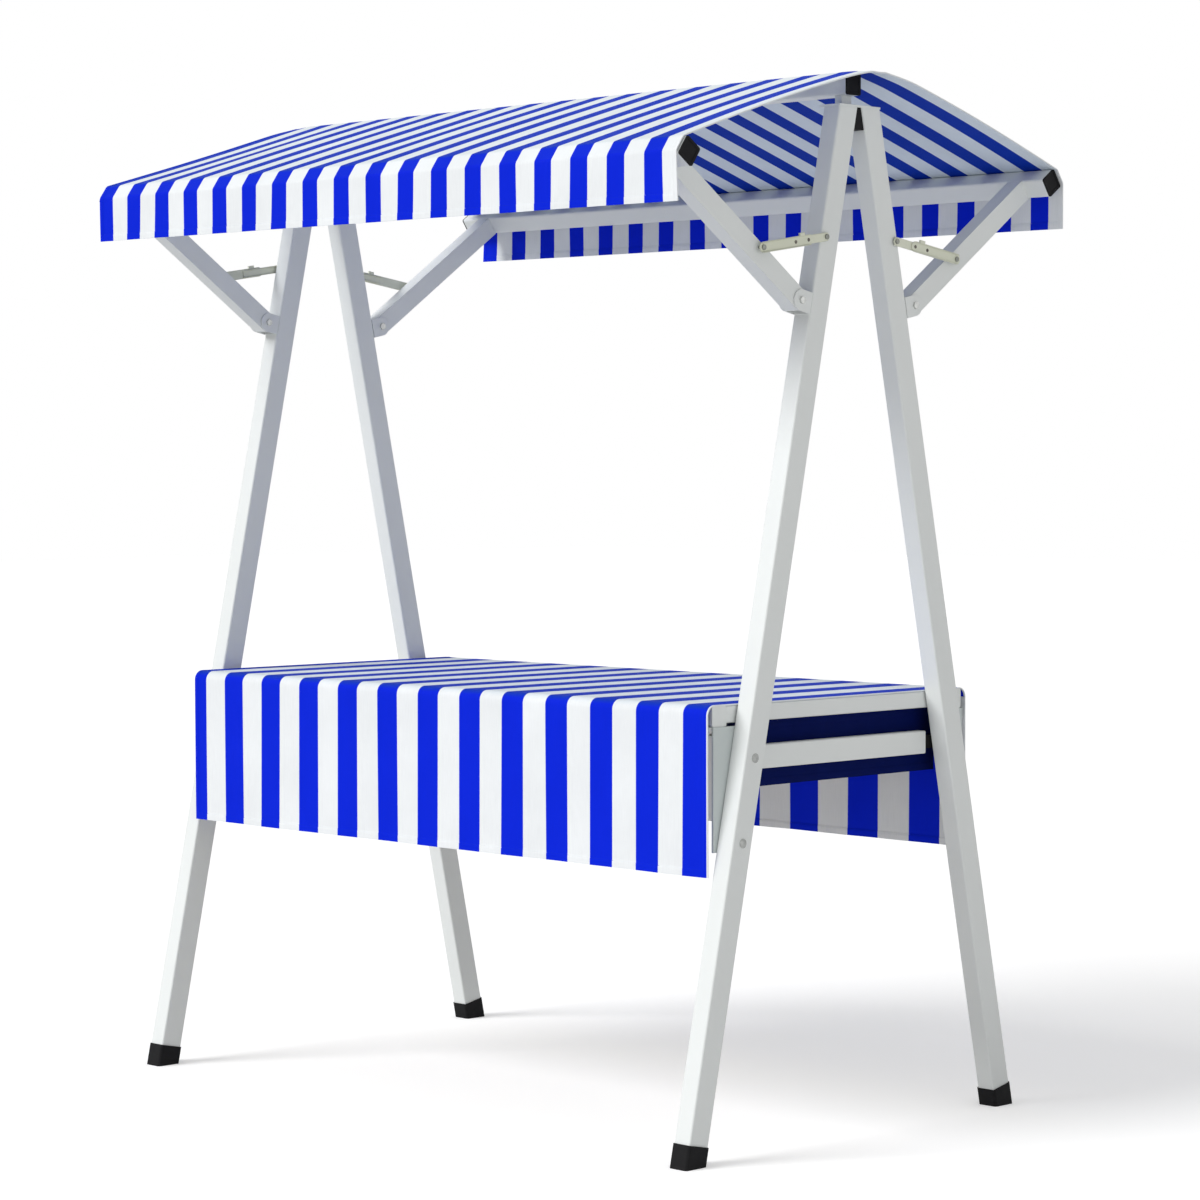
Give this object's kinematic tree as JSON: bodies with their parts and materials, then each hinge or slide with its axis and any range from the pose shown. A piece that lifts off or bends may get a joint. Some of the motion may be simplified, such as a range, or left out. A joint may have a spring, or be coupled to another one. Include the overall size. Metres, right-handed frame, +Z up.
{
  "type": "folding market food stall",
  "caption": "Folding market food stall: A-shaped end frames, ridge beam, striped cloth canopy on hinged awning wings with elbow stays, and a cloth-covered serving table.",
  "frame": {"origin": "on the ground below the middle of the ridge", "axes": "+Z up, -Y towards the front, +X to the right end along the ridge"},
  "size_m": [1.666, 1.089, 1.9913],
  "materials": {
    "frame_paint": "satin pale grey-white powder coat",
    "black_caps": "moulded black plastic",
    "stay_metal": "cream passivated steel",
    "fasteners": "zinc plated",
    "canopy_cloth": "blue and white striped woven cloth",
    "table_cloth": "blue and white striped woven cloth",
    "curtain_cloth": "plain navy woven cloth",
    "panel_board": "plain board"
  },
  "bodies": {
    "frame": {"apex_brackets": "frame_paint", "arm_brackets": "frame_paint", "arm_pivot_bolts": "fasteners", "crossbar_lugs": "black_caps", "front_canopy": "canopy_cloth", "front_left_foot": "black_caps", "front_left_leg": "frame_paint", "front_right_foot": "black_caps", "front_right_leg": "frame_paint", "front_table_rail": "frame_paint", "left_crossbar": "frame_paint", "left_end_curtain": "curtain_cloth", "left_table_end_rail": "frame_paint", "left_table_hangers": "frame_paint", "leg_head_spacers": "black_caps", "rear_canopy": "canopy_cloth", "rear_left_foot": "black_caps", "rear_left_leg": "frame_paint", "rear_right_foot": "black_caps", "rear_right_leg": "frame_paint", "rear_table_rail": "frame_paint", "ridge_beam": "frame_paint", "ridge_end_caps": "black_caps", "right_crossbar": "frame_paint", "right_end_curtain": "curtain_cloth", "right_table_end_rail": "frame_paint", "right_table_hangers": "frame_paint", "stay_leg_studs": "fasteners", "table_panel": "panel_board", "tablecloth_front": "table_cloth", "tablecloth_rear": "table_cloth", "tablecloth_top": "table_cloth"},
    "front_awning": {"front_eave_bar": "frame_paint", "front_eave_caps": "black_caps", "front_left_arm": "frame_paint", "front_right_arm": "frame_paint", "front_stay_arm_studs": "fasteners", "front_valance": "canopy_cloth"},
    "front_left_stay_inner": {"front_left_stay_inner_link": "stay_metal"},
    "front_left_stay_outer": {"front_left_stay_outer_link": "stay_metal"},
    "front_right_stay_inner": {"front_right_stay_inner_link": "stay_metal"},
    "front_right_stay_outer": {"front_right_stay_outer_link": "stay_metal"},
    "rear_awning": {"rear_eave_bar": "frame_paint", "rear_eave_caps": "black_caps", "rear_left_arm": "frame_paint", "rear_right_arm": "frame_paint", "rear_stay_arm_studs": "fasteners", "rear_valance": "canopy_cloth"},
    "rear_left_stay_inner": {"rear_left_stay_inner_link": "stay_metal"},
    "rear_left_stay_outer": {"rear_left_stay_outer_link": "stay_metal"},
    "rear_right_stay_inner": {"rear_right_stay_inner_link": "stay_metal"},
    "rear_right_stay_outer": {"rear_right_stay_outer_link": "stay_metal"}
  },
  "joints": [
    {"name": "front_awning_fold", "type": "hinge", "parent": "frame", "child": "front_awning", "pos_m": [0, -0.16115, 1.56203], "axis": [-1, 0, 0], "range_deg": [0, 65], "deforming": ["front_canopy"]},
    {"name": "front_left_stay_inner_turn", "type": "hinge", "parent": "frame", "child": "front_left_stay_inner", "pos_m": [-0.788, -0.09981, 1.67986], "axis": [-1, 0, 0], "range_deg": [-29.1, 0]},
    {"name": "front_left_stay_outer_turn", "type": "hinge", "parent": "front_awning", "child": "front_left_stay_outer", "pos_m": [-0.788, -0.27362, 1.6533], "axis": [-1, 0, 0], "range_deg": [0, 63.3]},
    {"name": "front_right_stay_inner_turn", "type": "hinge", "parent": "frame", "child": "front_right_stay_inner", "pos_m": [0.788, -0.09981, 1.67986], "axis": [-1, 0, 0], "range_deg": [-29.1, 0]},
    {"name": "front_right_stay_outer_turn", "type": "hinge", "parent": "front_awning", "child": "front_right_stay_outer", "pos_m": [0.788, -0.27362, 1.6533], "axis": [-1, 0, 0], "range_deg": [0, 63.3]},
    {"name": "rear_awning_fold", "type": "hinge", "parent": "frame", "child": "rear_awning", "pos_m": [0, 0.16115, 1.56203], "axis": [1, 0, 0], "range_deg": [0, 65], "deforming": ["rear_canopy"]},
    {"name": "rear_left_stay_inner_turn", "type": "hinge", "parent": "frame", "child": "rear_left_stay_inner", "pos_m": [-0.788, 0.09981, 1.67986], "axis": [1, 0, 0], "range_deg": [-29.1, 0]},
    {"name": "rear_left_stay_outer_turn", "type": "hinge", "parent": "rear_awning", "child": "rear_left_stay_outer", "pos_m": [-0.788, 0.27362, 1.6533], "axis": [1, 0, 0], "range_deg": [0, 63.3]},
    {"name": "rear_right_stay_inner_turn", "type": "hinge", "parent": "frame", "child": "rear_right_stay_inner", "pos_m": [0.788, 0.09981, 1.67986], "axis": [1, 0, 0], "range_deg": [-29.1, 0]},
    {"name": "rear_right_stay_outer_turn", "type": "hinge", "parent": "rear_awning", "child": "rear_right_stay_outer", "pos_m": [0.788, 0.27362, 1.6533], "axis": [1, 0, 0], "range_deg": [0, 63.3]}
  ],
  "couplings": [
    {"joint": "front_left_stay_inner_turn", "follows": "front_awning_fold", "ratio": -0.44644},
    {"joint": "front_left_stay_outer_turn", "follows": "front_awning_fold", "ratio": 0.97339},
    {"joint": "front_right_stay_inner_turn", "follows": "front_awning_fold", "ratio": -0.44644},
    {"joint": "front_right_stay_outer_turn", "follows": "front_awning_fold", "ratio": 0.97339},
    {"joint": "rear_left_stay_inner_turn", "follows": "rear_awning_fold", "ratio": -0.44644},
    {"joint": "rear_left_stay_outer_turn", "follows": "rear_awning_fold", "ratio": 0.97339},
    {"joint": "rear_right_stay_inner_turn", "follows": "rear_awning_fold", "ratio": -0.44644},
    {"joint": "rear_right_stay_outer_turn", "follows": "rear_awning_fold", "ratio": 0.97339}
  ]
}
